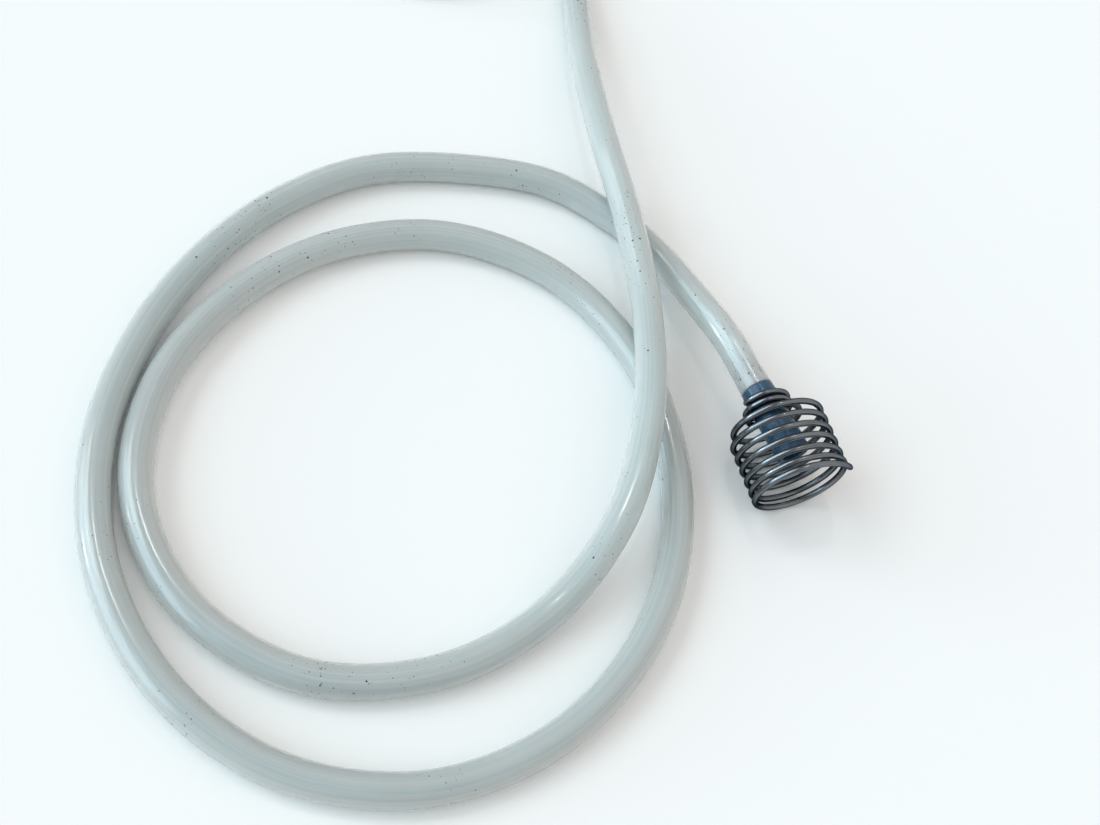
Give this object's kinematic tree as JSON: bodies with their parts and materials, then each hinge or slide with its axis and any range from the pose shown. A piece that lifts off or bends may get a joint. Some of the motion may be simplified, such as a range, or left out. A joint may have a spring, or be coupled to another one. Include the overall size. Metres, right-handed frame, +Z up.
{
  "type": "siphon hose with spring strainer",
  "caption": "Clear flexible siphon hose with a barbed inlet tube and a wound wire spring strainer that keeps the inlet off the bottom of a vessel.",
  "frame": {"origin": "on the surface the part lies on, in the middle of the flat under one turn of the strainer's cup", "axes": "+Y along the strainer's axis from its open mouth towards the hose, +Z up from the surface"},
  "size_m": [0.2694, 0.4828, 0.0374],
  "materials": {
    "strainer_wire": "drawn spring wire, dark satin with bright highlights",
    "inlet_tube": "moulded plastic, slate blue-grey, semi-gloss",
    "hose": "clear flexible hose, slightly milky, smooth and glossy"
  },
  "bodies": {
    "root": {"strainer_coil": "strainer_wire", "inlet_tube": "inlet_tube", "hose_end": "hose", "hose_run": "hose", "hose_coil": "hose"}
  },
  "joints": []
}
